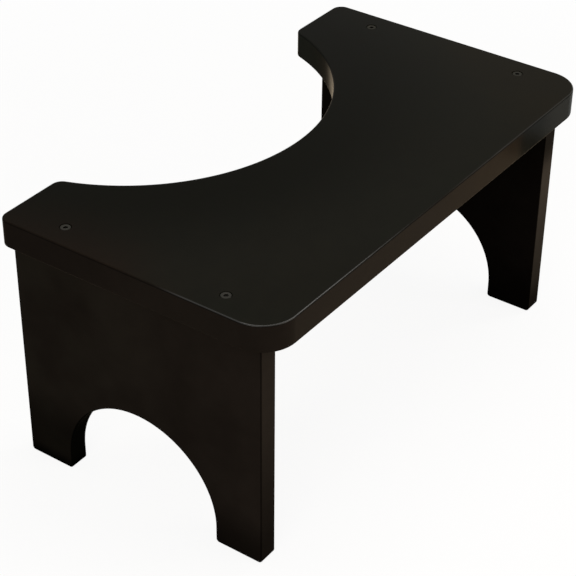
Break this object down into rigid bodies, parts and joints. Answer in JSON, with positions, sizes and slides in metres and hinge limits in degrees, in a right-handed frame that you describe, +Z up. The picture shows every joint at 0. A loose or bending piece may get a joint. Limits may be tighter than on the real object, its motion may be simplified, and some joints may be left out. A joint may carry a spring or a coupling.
{
  "type": "toilet footstool",
  "caption": "Low footstool with arched panel legs and a board with a curved cut-out that fits round the foot of a toilet.",
  "frame": {"origin": "on the floor, under the middle of the board's length and width", "axes": "+X along the board's length, +Y towards the long edge with the curved cut-out, +Z up"},
  "size_m": [0.465, 0.26, 0.235],
  "materials": {
    "black_lacquer": "satin black lacquer, smooth, no visible grain",
    "screw_steel": "dull grey plated steel",
    "dowel_beech": "raw beech"
  },
  "bodies": {
    "root": {"top_board": "black_lacquer", "left_leg": "black_lacquer", "right_leg": "black_lacquer", "screw_left_front": "screw_steel", "screw_left_back": "screw_steel", "screw_right_front": "screw_steel", "screw_right_back": "screw_steel", "dowel_left_front": "dowel_beech", "dowel_left_back": "dowel_beech", "dowel_right_front": "dowel_beech", "dowel_right_back": "dowel_beech"}
  },
  "joints": []
}
